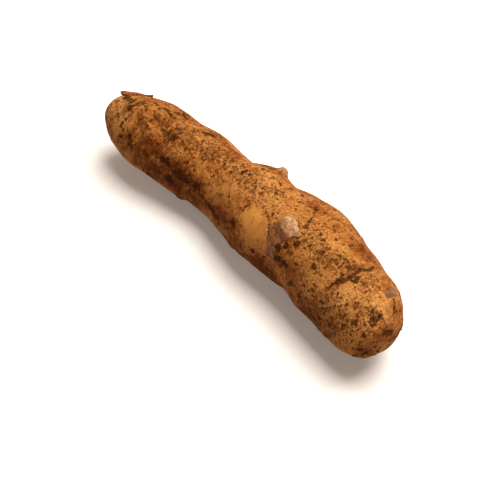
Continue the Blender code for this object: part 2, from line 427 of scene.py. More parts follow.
RAGGED = noise_over(2.6, 3, 1)
RAGGED_FINE = noise_over(1.1, 2, 2)
WARP_ALONG = 0.9 * noise_over(2.2, 3, 3)
WARP_ROUND = 0.9 * noise_over(2.2, 3, 4)
print("ragged noise from", round(RAGGED.min(), 2), "to", round(RAGGED.max(), 2))

# %% [markdown]
# ## Where the soil is
# Soil dries onto a potato as clots, spots and thin films. Each row below is one of
# them: where it is, half its size along and round the tuber, and how thick it is. The
# rows cover the side that the photograph shows. On the side that it doesn't show,
# clots of like sizes are scattered by a seeded draw.

# %% Clots and spots of soil
# x, angle, half size along, half size round, thickness
CLOTS = (
    (-63, 83, 1.1, 1.5, 1),
    (-61.2, 88, 0.9, 1.2, 0.8),
    (-59.4, 93, 0.9, 1.4, 0.9),
    (-57.8, 101.5, 1, 1.6, 1),
    (-57, 107.5, 0.9, 0.9, 0.8),
    (-56.8, 90.5, 0.9, 0.7, 0.8),
    (-55.2, 85.5, 0.6, 0.8, 0.7),
    (-55.6, 126.5, 0.8, 0.7, 0.8),
    (-62, 130, 0.6, 0.5, 0.6),
    (-55.6, 138.5, 0.7, 0.9, 0.9),
    (-50.4, 146.5, 0.7, 1, 0.9),
    (-65, 159, 1.2, 1.2, 0.6),
    (-52, 110.5, 2.2, 1.5, 0.42),
    (-48.5, 115.5, 1.8, 1.3, 0.42),
    (-44, 97.5, 1.3, 0.9, 0.5),
    (-47.6, 69.5, 1.8, 1.6, 0.7),
    (-45, 64.5, 1.2, 0.9, 0.6),
    (-45.2, 75.5, 1.2, 0.8, 0.8),
    (-41.7, 63.5, 0.7, 0.8, 0.8),
    (-48.5, 91.5, 0.6, 0.9, 0.7),
    (-38.4, 94, 1.1, 1.1, 0.65),
    (-36.6, 97, 0.8, 0.9, 0.6),
    (-38, 110, 2, 1.5, 0.55),
    (-33.7, 108, 0.5, 0.5, 0.9),
    (-31.2, 115, 0.5, 0.9, 0.85),
    (-31, 69, 0.9, 2, 0.65),
    (-29.3, 86, 0.6, 0.7, 0.7),
    (-26.7, 101, 0.6, 0.9, 0.85),
    (-24.3, 110, 1, 0.6, 1),
    (-23.3, 73.5, 0.5, 1.2, 0.6),
    (-27.5, 128, 0.7, 1.2, 0.8),
    (-24.5, 129.5, 0.9, 1.2, 0.6),
    (-18.7, 88.5, 0.6, 1.3, 0.9),
    (-17.4, 94.5, 0.6, 1, 0.9),
    (-17.3, 120.5, 0.6, 0.9, 0.8),
    (-12.2, 100.5, 1, 0.5, 0.95),
    (-8.6, 89.5, 0.9, 1.5, 0.95),
    (-7.9, 95, 0.8, 0.7, 1),
    (-7.8, 106, 0.5, 0.6, 0.8),
    (-5.5, 66, 0.7, 0.7, 0.75),
    (-3.5, 70, 0.6, 0.5, 0.7),
    (-1.5, 93, 0.5, 0.7, 0.85),
    (-5.5, 130, 0.6, 0.5, 0.9),
    (-9.5, 137, 0.6, 0.5, 0.9),
    (-3.3, 142, 0.5, 0.5, 0.9),
    (-35, 146, 2.4, 2, 0.6),
    (-27, 153, 4.5, 2.6, 0.62),
    (-21, 150.5, 1.8, 2.2, 0.7),
    (-31.5, 172, 2.2, 2.2, 0.85),
    (-12, 164.5, 3, 1, 0.5),
    (-6, 170, 2, 0.9, 0.6),
    (-49, 154.5, 1.6, 1.6, 0.55),
    (-53.5, 156.5, 1.2, 1, 0.6),
    (4.5, 66.5, 0.8, 0.6, 0.85),
    (8.4, 77.5, 0.4, 0.6, 0.9),
    (7, 86, 0.6, 0.5, 0.75),
    (2.5, 93, 0.7, 0.6, 0.9),
    (0.3, 97, 0.5, 0.7, 0.8),
    (13.2, 63.5, 1.6, 0.8, 0.6),
    (16.8, 79.5, 1.3, 0.8, 0.65),
    (21.8, 73, 1.2, 1.1, 0.75),
    (25.3, 99, 1.2, 0.9, 0.85),
    (23.2, 104.5, 0.5, 0.5, 0.7),
    (30.7, 69, 0.4, 1, 0.8),
    (32.7, 75.5, 0.5, 0.5, 0.9),
    (28.5, 79, 0.5, 0.4, 0.75),
    (28.7, 83.5, 0.5, 0.4, 0.8),
    (35.4, 81.5, 0.6, 0.5, 0.8),
    (30.8, 93, 0.7, 0.6, 0.8),
    (33, 96, 0.7, 0.6, 1),
    (36.2, 99, 0.4, 0.5, 0.8),
    (40, 68, 0.5, 1.1, 0.7),
    (41.2, 92, 0.7, 0.7, 0.85),
    (44.3, 88.5, 0.7, 0.6, 1),
    (46.5, 93.5, 0.8, 0.9, 0.75),
    (42.5, 102.5, 0.6, 0.6, 0.8),
    (50, 95.5, 1.3, 1.7, 0.70),
    (51.2, 89.5, 0.9, 0.9, 0.75),
    (51.7, 97, 0.8, 1.2, 0.9),
    (49, 104, 0.9, 1.4, 0.9),
    (36.3, 107, 0.5, 1.1, 0.8),
    (31.3, 113, 0.7, 0.6, 1),
    (28.4, 113, 0.4, 0.4, 0.9),
    (36.8, 116.5, 0.7, 0.5, 0.9),
    (40.7, 114.5, 0.5, 0.5, 0.8),
    (37.2, 125, 1, 0.7, 0.85),
    (27.2, 122.5, 1.7, 1.6, 1),
    (24.4, 131.5, 1.1, 1.3, 0.8),
    (22.4, 139.5, 1.2, 1.3, 0.9),
    (27.2, 151, 1.6, 1.3, 1),
    (24, 153.5, 1.5, 0.8, 0.85),
    (19, 164.5, 0.8, 0.6, 0.8),
    (31.3, 138.5, 0.7, 0.7, 0.75),
    (42, 145.5, 0.8, 0.7, 0.8),
    (38.3, 144, 0.5, 0.7, 0.65),
    (47, 146.5, 0.8, 0.7, 1),
    (48.8, 144.5, 0.5, 0.6, 0.85),
    (51.9, 135.5, 0.5, 0.7, 0.75),
    (50.3, 123.5, 0.6, 0.5, 0.9),
    (53.8, 131.5, 0.4, 0.7, 0.7),
    (58.3, 146.5, 0.4, 1.8, 0.8),
    (60.3, 136, 1.5, 1, 0.8),
    (62.3, 109, 0.6, 1.9, 0.85),
    (64, 112, 0.7, 1.2, 0.8),
    (65, 103, 0.8, 1.4, 0.9),
    (65.2, 120, 0.6, 1.1, 0.8),
    (65.8, 177, 1.3, 1.4, 0.65),
    (67, 188, 1, 1.6, 0.6),
    (69.3, 76, 0.5, 1.2, 0.55),
    (57.7, 111.5, 0.5, 0.4, 0.8),
    (62.3, 97, 0.4, 0.7, 0.8),
    (65.5, 144, 0.6, 0.9, 0.7),
    (41, 162, 0.6, 0.5, 0.9),
    (37, 170, 0.6, 0.9, 0.8),
    (30.4, 164, 0.5, 0.6, 0.75),
    (13.8, 168.5, 1.5, 0.7, 0.85),
    (5.5, 147, 0.8, 0.8, 0.8),
    (1.5, 155, 1.8, 1.6, 0.7),
    (10.5, 117.5, 0.6, 0.6, 0.9),
    (13.4, 113.5, 0.7, 0.6, 0.9),
    (13.7, 100.5, 0.5, 0.5, 0.8),
    (53, 164.5, 0.6, 0.8, 0.8),
    (56.5, 171.5, 0.6, 0.8, 0.8),
    (48, 172.5, 0.6, 0.9, 0.8),
    (63, 163, 0.5, 0.9, 0.7),
    (69, 97, 0.5, 1.6, 0.55),
    (-4.5, 36, 0.5, 0.6, 0.7),
)
HIDDEN_CLOTS = 130
HIDDEN_SIDE = (205, 385)


def hidden_clots():
    """Clots on the side that the photograph doesn't show."""
    draw = random.Random(11)
    rows = []
    for _ in range(HIDDEN_CLOTS):
        size = 0.4 + 1.4 * draw.random() ** 3
        rows.append((
            draw.uniform(-66, 68),
            draw.uniform(*HIDDEN_SIDE),
            size * draw.uniform(0.7, 1.5),
            size * draw.uniform(0.7, 1.3),
            draw.uniform(0.6, 1.0),
        ))
    return rows


def patch(at_x, at_angle, half_along, half_round):
    """1 in the middle of a patch of skin with a ragged rim, 0 outside it."""
    along, across = apart(AT_X, AT_ANGLE, at_x, at_angle)
    small = min(1.0, 0.5 * (half_along + half_round))
    along = along + small * WARP_ALONG
    across = across + small * WARP_ROUND
    out = np.hypot(along / half_along, across / half_round)
    return np.clip((1.25 - out * (1 + 0.3 * RAGGED_FINE)) / 0.6, 0.0, 1.0)


soil = np.zeros(len(points))
for at_x, at_angle, half_along, half_round, thick in [*CLOTS, *hidden_clots()]:
    soil = np.maximum(soil, thick * patch(at_x, at_angle, half_along, half_round))
print("skin under clots", round(100 * float((soil > 0.4).mean()), 1), "per cent")

# %% [markdown]
# ## Creases
# The skin is pinched into thin creases at the biggest eyes and along the rubbed place.
# Each crease is a line through a few places, with its depth and its width. Soil stays
# in a crease when the rest of the skin is brushed, so a crease is a line of soil too.

# %% Creases
# depth, half width, soil in it, places
CREASES = (
    (0.22, 0.50, 0.70, ((50.6, 58), (50.8, 66.5), (50.2, 73.5), (49.4, 79.5), (49.2, 87))),
    (0.30, 0.50, 0.76, ((49.2, 87), (49.2, 96), (48.5, 106), (47.5, 117))),
    (0.22, 0.35, 0.60, ((47.5, 117), (46.6, 124), (46.8, 131))),
    (0.50, 0.45, 1, ((-49.2, 74.5), (-47.5, 76.5), (-46, 78), (-44.2, 81))),
    (0.20, 0.35, 0.7, ((-50, 87.5), (-48.8, 90.5), (-47, 90))),
    (0.30, 0.40, 0.8, ((-43.4, 59.5), (-42.3, 62.5), (-40.6, 65))),
    (0.25, 0.40, 0.6, ((-31.8, 45), (-30.4, 48), (-28.5, 48))),
    (0.25, 0.35, 0.8, ((10.2, 114.5), (13.4, 122), (15.6, 131.5), (17.2, 140.5), (19, 149.5))),
    (0.15, 0.35, 0.6, ((3.2, 119), (2.5, 127), (2.6, 138))),
    (0.20, 0.30, 0.7, ((22.9, 78.5), (24.2, 87.5), (24.3, 98.5))),
    (0.20, 0.35, 0.7, ((63, 58), (64.6, 57), (66.3, 61))),
    (0.25, 0.45, 0.8, ((-17.5, 159.5), (-13, 163.5), (-9, 166.5))),
    (0.20, 0.40, 0.7, ((62.6, 101), (63.4, 109), (63.9, 119))),
    (0.20, 0.40, 0.7, ((65.2, 98), (65.4, 109))),
    (0.30, 0.50, 0.8, ((-29.5, 63), (-31, 67), (-32.6, 72))),
)


def line_distance(places):
    """How far each point of the skin is from a line through places, in mm."""
    nearest = np.full(len(points), 1e9)
    for start, end in zip(places[:-1], places[1:]):
        along, across = apart(AT_X, AT_ANGLE, *start)
        run, rise = apart(end[0], math.radians(end[1]), *start)
        share = np.clip((along * run + across * rise) / (run**2 + rise**2), 0.0, 1.0)
        away = np.hypot(along - share * run, across - share * rise)
        nearest = np.minimum(nearest, away)
    return nearest


creased = np.zeros(len(points))
for depth, half_width, dirt, places in CREASES:
    away = line_distance(places) * (1 + 0.35 * RAGGED)
    creased -= depth * bell(away / half_width)
    creased += 0.3 * depth * bell(away / half_width - 2.2)
    soil = np.maximum(soil, dirt * np.exp(-((away / (1.3 * half_width)) ** 4)))
print("creases", len(CREASES), "deepest", round(float(-creased.min()), 2), "mm")

# %% [markdown]
# ## Films, painted shade, bare places and specks
# Three softer marks lie under the clots. A film of dried soil dulls the skin, thickest
# on the stem end, and in some places it is worn thin again. Low on the near side and
# under the tuber the film is soil and painted shade in one: its dark, warm brown is laid
# where the skin lies in shade. In a few bare places the skin is smooth and yellow, and the
# largest of them, at the middle, is rubbed quite clear. Specks of soil as fine as pepper
# are scattered all over, but denser in some places.

# %% Films, painted shade, bare places and specks
# x, angle, reach along, reach round, strength
FILMS_AND_SHADE = (
    (-52, 110, 5, 3.5, 0.5),
    (-38, 108, 4, 3, 0.5),
    (-42, 148, 14, 6, 0.62),
    (-30, 150, 11, 4.5, 0.72),
    (-30, 178, 16, 6, 0.7),
    (-10, 166, 14, 4, 0.6),
    (4, 152, 5, 3, 0.5),
    (5, 168, 4, 2.5, 0.45),
    (25, 130, 4, 4.5, 0.5),
    (26, 152, 7, 3, 0.5),
    # These two rows, low on the near side and under it, are soil and painted shade in one.
    (30, 196, 14, 6, 0.45),
    (8, 190, 14, 5, 0.6),
    (52, 176, 12, 6, 0.2),
    (62, 158, 6, 5, 0.2),
    (66, 160, 4, 6, 0.15),
    (66.5, 182, 3, 5, 0.5),
    (69.3, 90, 1.5, 4, 0.85),
    (68.8, 116, 1.4, 3.6, 0.8),
    (48, 98, 3, 6, 0.4),
    (30, 240, 20, 9, 0.6),
    (-20, 240, 22, 9, 0.6),
    (55, 300, 10, 9, 0.5),
    (-50, 290, 12, 9, 0.5),
    (5, 300, 16, 9, 0.35),
    (-60, 60, 6, 5, 0.35),
    (-50, 80, 9, 5, 0.45),
    (-34, 75, 9, 5, 0.12),
    (-22, 62, 8, 4, 0.47),
    (-40, 48, 14, 3, 0.45),
    (16, 66, 10, 5, 0.45),
    (25, 60, 6, 4, 0.42),
    (34, 64, 9, 4, 0.2),
    (60, 58, 6, 3.5, 0.38),
    (67, 46, 4, 5, 0.35),
    # The next two rows darken the underside on the near side: they are painted shade.
    (18, 190, 9, 5.5, 1.1),
    (45, 190, 10, 5.5, 0.72),
    (46, 58, 10, 4, 0.5),
    (-5, 52, 9, 3, 0.45),
    (-48, 96, 12, 5, 0.3),
    (-51, 124, 5, 4, 0.4),
    (-14, 112, 5, 4, 0.35),
    (2, 118, 5, 4, 0.75),
    (-36, 170, 6, 4, 0.95),
    (40, 107, 3, 2.5, 0.45),
)
BARE = (
    (-57.5, 145.5, 1.8, 2.6, 0.8),
    (-46.6, 84.5, 2.6, 1.4, 0.7),
    (-19, 126.5, 0.9, 3.4, 0.6),
    (-14, 86.5, 2.2, 1.8, 0.7),
    (-8, 130, 6, 5, 0.45),
    (63.8, 63, 1.6, 2.4, 0.8),
    (11, 75.5, 3, 2.4, 0.6),
    (8.5, 98, 3, 3, 0.4),
    (58, 101, 3.5, 3.5, 0.45),
    (36.5, 89, 2.4, 2, 0.6),
    (22, 99.5, 1.4, 1.6, 0.4),
    (46, 78.5, 1.6, 1.6, 0.5),
    (51, 112, 1.4, 3, 0.9),
    (32, 129, 4, 2.6, 0.35),
    (44, 125.5, 3, 4, 0.35),
    (-30, 330, 5, 4, 0.5),
    (28, 275, 6, 4, 0.5),
    (-46, 250, 4, 3, 0.5),
    (50, 325, 5, 3.5, 0.5),
)
CLEARED = (
    (5, 96, 14, 8, 0.8),
    (34, 98, 14, 7, 0.5),
    (52, 114, 8, 6, 1.2),
    (61, 104, 6, 7, 0.9),
    (11, 76, 5, 4, 0.9),
    (38, 55, 6, 4, 0.1),
    (54.5, 76, 5, 5, 0.6),
    (62, 145, 7, 6, 0.8),
    (44, 148, 10, 4, 0.5),
    (-16, 88, 6, 4, 0.5),
    (-28, 84, 8, 4.5, 0.4),
    (-50, 76, 6, 4, 0.3),
    (-64, 115, 6, 9, 0.6),
    (-56, 135, 5, 6, 0.5),
    (12, 138, 10, 6, 0.6),
)
RUBBED_RIM = (
    (3.4, 126),
    (3.8, 117),
    (6, 113),
    (9, 113),
    (11.2, 116.5),
    (13.6, 123.5),
    (15.6, 132.5),
    (17.4, 142.5),
    (18.4, 151.5),
    (15.6, 158.5),
    (12, 162.5),
    (9.4, 157.5),
    (6.6, 149),
    (4.2, 139),
)
SPECKLED = (
    (-26, 93, 7, 4, 1),
    (-14, 88, 6, 4, 0.7),
    (-20, 78, 5, 3, 0.6),
    (-36, 99, 8, 5, 0.8),
    (-4, 94, 8, 4, 0.8),
    (6, 86, 6, 4, 0.5),
    (35, 109, 8, 4, 0.8),
    (44, 96.5, 5, 3, 0.9),
    (53.5, 80, 3.5, 4, 1),
    (59, 112, 5, 4, 0.5),
    (50, 150.5, 10, 6, 0.6),
    (-56, 98.5, 8, 6, 0.4),
    (20, 300, 18, 9, 0.7),
    (-35, 310, 16, 9, 0.7),
    (48, 240, 12, 8, 0.7),
)


def soft_marks(rows):
    """The strongest of some soft-edged marks at each point of the skin."""
    marks = np.zeros(len(points))
    for at_x, at_angle, reach, girth, strength in rows:
        along, across = apart(AT_X, AT_ANGLE, at_x, at_angle)
        out = np.hypot((along + WARP_ALONG) / reach, (across + WARP_ROUND) / girth)
        marks = np.maximum(marks, strength * np.exp(-(out**2.5)))
    return marks


def inside_rim(rim, edge):
    """1 inside a rounded outline of places, 0 outside, with an edge as wide in mm."""
    corner = np.array(rim, float)
    middle = corner.mean(axis=0)
    along, across = apart(AT_X, AT_ANGLE, *middle)
    run, rise = apart(corner[:, 0], np.radians(corner[:, 1]), *middle)
    bearing = np.arctan2(rise, run)
    order = np.argsort(bearing)
    bearing = bearing[order]
    radius = np.hypot(run, rise)[order]
    bearing = np.concatenate([bearing[-3:] - 2 * math.pi, bearing, bearing[:3] + 2 * math.pi])
    radius = np.concatenate([radius[-3:], radius, radius[:3]])
    reach = through(np.arctan2(across, along), bearing, radius)
    away = np.hypot(along, across) + 0.9 * RAGGED - reach
    return np.clip(0.5 - away / edge, 0.0, 1.0)


film = soft_marks(FILMS_AND_SHADE) - soft_marks(CLEARED)
bare = soft_marks(BARE)
specks = 0.14 + 0.86 * soft_marks(SPECKLED)
rubbed = inside_rim(RUBBED_RIM, 4.0)
soil *= 1 - 0.8 * rubbed
film *= 1 - 0.85 * rubbed
specks *= (1 - 0.8 * rubbed) * (1 - 0.7 * bare) * (1 - BUD)
print("rubbed place", round(100 * float(rubbed.mean()), 2), "per cent of the points")

# %% [markdown]
# ## Relief
# The heights are added along the skin's own normals, so that they stand straight up at
# the ends of the tuber as well. Wrinkles run round the tuber and are strongest near the
# ends, an eye's brow has a sharp little groove on its inner side, and clots of soil
# stand proud of the skin. What would go below the table is pressed flat: that is the
# small spot the tuber rests on.


# %% Relief of the skin
# where an eye's groove and the rim of its bud lie, and how wide they are
GROOVE_PLACE = 1.0
GROOVE_WIDTH = 0.45
RIM_PLACE = 1.3
RIM_WIDTH = 0.3
# heights
WRINKLES = 0.10
LUMPS = 0.10
PIMPLES = 0.035
CRUST = 0.16
RUBBED_OFF = 0.06
BUD_FLAKES = 0.20


def eye_grooves():
    """The thin groove along each brow, and the scale-like rim of the low bud in the eye."""
    height = np.zeros(len(points))
    for at_x, at_angle, turn, length, bow, brow, hollow in EYES:
        place = (AT_X, AT_ANGLE, at_x, at_angle, turn, length, bow)
        arch, forward, sideways, fade = eye_frame(*place)
        height -= 0.35 * hollow * fade * bell((arch - GROOVE_PLACE) / GROOVE_WIDTH)
        rim = np.hypot(forward + bow - HOLLOW_OFFSET, sideways)
        height -= 0.2 * hollow * bell((rim - RIM_PLACE) / RIM_WIDTH)
    return height


from_end = 1 - end_rounding(AT_X) ** 2
wrinkled = np.clip(0.35 + from_end + 0.6 * film, 0.0, 1.0) * (1 - rubbed) * (1 - 0.5 * bare)
relief = WRINKLES * wrinkled * noise_over((1.3, 6.0, 6.0), 3, 5)
relief += LUMPS * noise_over(7.0, 2, 6) + PIMPLES * (1 - rubbed) * noise_over(1.2, 2, 7)
relief += creased + eye_grooves()
crust = np.clip(2.2 * soil - 0.7, 0.0, 1.0) * (0.6 + 0.6 * RAGGED_FINE)
relief += CRUST * crust - RUBBED_OFF * rubbed
relief += BUD_FLAKES * BUD * noise_over(0.9, 2, 8)

heading = np.zeros(3 * len(points), np.float32)
tuber.data.vertex_normals.foreach_get("vector", heading)
points += relief[:, None] * heading.reshape(-1, 3)
points[:, 2] = np.maximum(points[:, 2], 0.0)
tuber.data.vertices.foreach_set("co", (points * MM).ravel().astype(np.float32))
tuber.data.update()
tuber.data.shade_smooth()
print("relief from", round(relief.min(), 2), "to", round(relief.max(), 2), "mm")

# %% [markdown]
# The marks go onto the mesh as attributes, one number for each point, and the skin's
# material reads them by name.


# %% Marks on the mesh
def keep_marks(mesh, **marks):
    """Writes each array of numbers to the mesh as an attribute of its points."""
    for name, values in marks.items():
        layer = mesh.attributes.new(name, "FLOAT", "POINT")
        layer.data.foreach_set("value", np.asarray(values, np.float32))


pink = 0.9 * np.clip(1.5 * BUD, 0.0, 1.0)
keep_marks(tuber.data, soil=soil, film=film, bare=bare, rubbed=rubbed, specks=specks, bud=pink)

# %% [markdown]
# ## Materials
# A few small helpers keep the node trees readable. Every pattern is read at Object
# coordinates, which are metres here, so a noise of scale 1000 has features of about a
# millimetre.


# %% Helpers for node trees
def new_material(name):
    """A material and its tree, with a Principled shader in it."""
    material = bpy.data.materials.new(name)
    material.use_nodes = True
    return material, material.node_tree


def put(tree, socket, value):
    """Links a socket to another, or sets it to a value."""
    if isinstance(value, bpy.types.NodeSocket):
        tree.links.new(value, socket)
    else:
        socket.default_value = value


def new_node(tree, kind, **inputs):
    """A node with some of its inputs linked or set. An underscore stands for a space."""
    made = tree.nodes.new("ShaderNode" + kind)
    for name, value in inputs.items():
        put(tree, made.inputs[name.replace("_", " ")], value)
    return made


def here(tree):
    """Where a point is, in metres."""
    return tree.nodes.new("ShaderNodeTexCoord").outputs["Object"]


def mark(tree, name):
    """An attribute of the mesh."""
    reader = tree.nodes.new("ShaderNodeAttribute")
    reader.attribute_name = name
    return reader.outputs["Fac"]


def cloud(tree, scale, detail=2.0, rough=0.5, twist=0.0, at=None):
    """Noise from 0 to 1."""
    made = new_node(tree, "TexNoise", Scale=scale, Detail=detail, Roughness=rough, Distortion=twist)
    put(tree, made.inputs["Vector"], at or here(tree))
    return made.outputs["Fac"]


def stretched(tree, scale):
    """Coordinates that are scaled by three numbers."""
    return new_node(tree, "Mapping", Vector=here(tree), Scale=scale).outputs["Vector"]


def calc(tree, operation, first, second=0.0):
    """One sum on two values or sockets."""
    made = tree.nodes.new("ShaderNodeMath")
    made.operation = operation
    put(tree, made.inputs[0], first)
    put(tree, made.inputs[1], second)
    return made.outputs["Value"]


def plus(tree, first, second):
    """Two values or sockets, added up."""
    return calc(tree, "ADD", first, second)


def less(tree, first, second):
    """The first less the second."""
    return calc(tree, "SUBTRACT", first, second)


def times(tree, first, second):
    """Two values or sockets, multiplied."""
    return calc(tree, "MULTIPLY", first, second)


def step(tree, value, low, high, bottom=0.0, top=1.0):
    """Rises smoothly from bottom at low to top at high."""
    made = new_node(tree, "MapRange", Value=value, From_Min=low, From_Max=high)
    made.interpolation_type = "SMOOTHSTEP"
    made.inputs["To Min"].default_value = bottom
    made.inputs["To Max"].default_value = top
    return made.outputs["Result"]


def blend(tree, share, first, second):
    """Mixes two colours."""
    made = tree.nodes.new("ShaderNodeMix")
    made.data_type = "RGBA"
    put(tree, made.inputs["Factor"], share)
    put(tree, made.inputs["A"], first)
    put(tree, made.inputs["B"], second)
    return made.outputs["Result"]


def dress(tree, tone, rough, gloss):
    """Sets the shader's colour, roughness and gloss."""
    shader = tree.nodes["Principled BSDF"]
    put(tree, shader.inputs["Base Color"], tone)
    put(tree, shader.inputs["Roughness"], rough)
    shader.inputs["Specular IOR Level"].default_value = gloss


def emboss(tree, height, depth, strength=1.0):
    """Fine relief from a height between 0 and 1, with its full depth in mm."""
    made = new_node(tree, "Bump", Strength=strength, Distance=depth * MM, Height=height)
    put(tree, tree.nodes["Principled BSDF"].inputs["Normal"], made.outputs["Normal"])


# %% [markdown]
# The skin's own colour is uneven: gold where it is thin and clean, orange-brown where
# it is corky. Over it come the film of soil, the specks and the clots, each with edges
# that are broken up by noise. Soil is rough and nearly black-brown, clean skin has a
# faint sheen.

# %% Colours
GOLD = (0.375, 0.160, 0.042, 1)
OCHRE = (0.27, 0.094, 0.020, 1)
CORK = (0.130, 0.034, 0.0048, 1)
PALE = (0.62, 0.345, 0.130, 1)
YELLOW = (0.44, 0.215, 0.056, 1)
# The film's brown is also painted shade low on the near side and underneath; its saturated, warm
# tone stands in for warm shade there.
FILM_AND_SHADE_BROWN = (0.100, 0.0260, 0.0032, 1)
SOIL = (0.034, 0.0105, 0.0022, 1)
SOIL_LIGHT = (0.078, 0.0280, 0.0085, 1)
BUD_PINK = (0.37, 0.205, 0.110, 1)


# %% Patterns on the skin
def swing(tree, socket, amount):
    """Noise, which is mostly within 0.1 of 0.5, turned to one mostly within the amount of 0."""
    return times(tree, less(tree, socket, 0.5), 8 * amount)


def speck_layer(tree, scale, size, density):
    """Specks of soil, one at most in each cell, in more of the cells where it is dense."""
    cells = new_node(tree, "TexVoronoi", Vector=here(tree), Scale=scale)
    lot = new_node(tree, "SeparateColor", Color=cells.outputs["Color"])
    there = step(tree, less(tree, density, lot.outputs["Red"]), 0.0, 0.1)
    radius = times(tree, plus(tree, lot.outputs["Green"], 0.4), size)
    ragged = swing(tree, cloud(tree, 3.0 * scale, 2, 0.6), 0.35)
    out = plus(tree, calc(tree, "DIVIDE", cells.outputs["Distance"], radius), ragged)
    darkness = step(tree, lot.outputs["Blue"], 0.0, 1.0, 0.5, 1.0)
    there = times(tree, there, darkness)
    return times(tree, step(tree, out, 1.20, 0.65), there)


def thin_lines(tree, scale, width):
    """Thin, curly lines: 1 where a noise passes through its middle value."""
    noise_here = cloud(tree, scale, 4, 0.65, 0.9)
    away = calc(tree, "ABSOLUTE", less(tree, noise_here, 0.5))
    return step(tree, away, width, 0.2 * width)


# %% Clean skin
def skin_tone(tree):
    """Clean skin: gold and orange-brown, with corky flecks, thin cracks and pale glints."""
    rubbed_here = mark(tree, "rubbed")
    # The film mark holds painted shade as well, so corky flecks gather and pale glints fade in that
    # shade too.
    dirt_and_shade = mark(tree, "film")
    tone = blend(tree, step(tree, cloud(tree, 130, 3, 0.55), 0.40, 0.60), OCHRE, GOLD)
    corky = plus(tree, times(tree, dirt_and_shade, 0.12), cloud(tree, 430, 6, 0.72, 0.4))
    corky = plus(tree, corky, times(tree, mark(tree, "specks"), 0.03))
    corky = step(tree, corky, 0.51, 0.64)
    corky = times(tree, corky, step(tree, dirt_and_shade, -0.5, 0.1, 0.36, 0.55))
    tone = blend(tree, corky, tone, CORK)
    clean = step(tree, dirt_and_shade, 0.45, -0.45, 0.08, 1.0)
    glints = less(tree, cloud(tree, 1100, 5, 0.75), times(tree, dirt_and_shade, 0.05))
    glints = step(tree, glints, 0.49, 0.60)
    glints = times(tree, glints, times(tree, clean, 0.5))
    tone = blend(tree, glints, tone, PALE)
    cracked = step(tree, cloud(tree, 210, 3), 0.46, 0.62)
    cracks = times(tree, thin_lines(tree, 330, 0.035), cracked)
    tone = blend(tree, times(tree, cracks, 0.42), tone, CORK)
    grain = step(tree, cloud(tree, 1900, 3, 0.7), 0.53, 0.63)
    tone = blend(tree, times(tree, grain, 0.42), tone, CORK)
    tone = blend(tree, times(tree, mark(tree, "bare"), 0.65), tone, YELLOW)
    streaks = cloud(tree, 1.0, 4, 0.6, 0.5, at=stretched(tree, (520, 130, 130)))
    worn = blend(tree, step(tree, streaks, 0.36, 0.56), GOLD, YELLOW)
    tone = blend(tree, times(tree, rubbed_here, 0.80), tone, worn)
    flaky = step(tree, cloud(tree, 800, 4, 0.65), 0.38, 0.56, 0.35, 1.0)
    return blend(tree, times(tree, mark(tree, "bud"), flaky), tone, BUD_PINK)


# %% [markdown]
# The film, which low on the near side is also painted shade, and the soil are each one
# share from 0 to 1. The marks on the mesh say roughly where they lie, noise is added to
# them, and a steep step of the sum gives torn edges.


# %% Film, clots and specks
def film_share(tree):
    """How much of the skin the film of soil and its painted shade hide: streaks and patches where
    the mark is set.
    """
    streaks = cloud(tree, 1.0, 5, 0.7, 0.4, at=stretched(tree, (1100, 300, 300)))
    patchy = cloud(tree, 330, 6, 0.72)
    amount = plus(tree, mark(tree, "film"), swing(tree, streaks, 0.32))
    amount = plus(tree, amount, swing(tree, patchy, 0.32))
    return step(tree, amount, 0.04, 0.88)


def soil_share(tree):
    """Clots and specks of soil."""
    density = mark(tree, "specks")
    pepper = speck_layer(tree, 1400, 0.48, times(tree, density, 1.5))
    fine = speck_layer(tree, 850, 0.50, times(tree, density, 1.05))
    coarse = speck_layer(tree, 400, 0.42, times(tree, density, 0.60))
    curds = plus(tree, cloud(tree, 520, 5, 0.7, 0.8), times(tree, density, 0.05))
    curds = step(tree, curds, 0.64, 0.70)
    specks_here = calc(tree, "MAXIMUM", calc(tree, "MAXIMUM", fine, coarse), curds)
    specks_here = calc(tree, "MAXIMUM", specks_here, pepper)
    torn = swing(tree, cloud(tree, 450, 4, 0.7, 0.3), 0.30)
    grainy = swing(tree, cloud(tree, 1500, 4, 0.75), 0.32)
    clots = plus(tree, times(tree, mark(tree, "soil"), 1.35), torn)
    clots = step(tree, plus(tree, clots, grainy), 0.45, 0.95)
    return calc(tree, "MAXIMUM", clots, times(tree, specks_here, 0.96))


# %% The tuber's skin
def skin_material():
    """Potato skin with its soil."""
    material, tree = new_material("potato_skin")
    film_here = film_share(tree)
    soil_here = soil_share(tree)
    # Film of soil over the clean skin, which low on the near side and underneath is painted shade.
    tone = blend(tree, times(tree, film_here, 0.82), skin_tone(tree), FILM_AND_SHADE_BROWN)
    earth = blend(tree, step(tree, cloud(tree, 1300, 3), 0.42, 0.60), SOIL, SOIL_LIGHT)
    tone = blend(tree, times(tree, soil_here, 0.90), tone, earth)

    rough = step(tree, mark(tree, "rubbed"), 0.0, 1.0, 0.60, 0.42)
    dirt = calc(tree, "MAXIMUM", film_here, soil_here)
    rough = plus(tree, rough, times(tree, dirt, 0.28))
    dress(tree, tone, rough, gloss=0.06)

    worn = less(tree, 1.15, mark(tree, "rubbed"))
    grain = times(tree, cloud(tree, 1400, 4, 0.7), worn)
    ridges = cloud(tree, 1.0, 3, 0.6, 0.3, at=stretched(tree, (1100, 330, 330)))
    height = times(tree, grain, 1.4)
    height = plus(tree, height, times(tree, ridges, 0.6))
    height = plus(tree, height, times(tree, soil_here, 0.5))
    emboss(tree, height, depth=0.35)
    return material


tuber.data.materials.append(skin_material())
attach(tuber, "root")
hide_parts("potato")

# %% [markdown]
# ## The dry end of the stolon
# The stolon is the stalk that fed the tuber. It tore off and dried to a flat, fibrous
# tongue that lies on the stem end, with its tip standing off the skin. It is a ball
# drawn out between two places on the skin, so it stays closed, and its cross-section
# is made ragged by ridges that run its whole length.

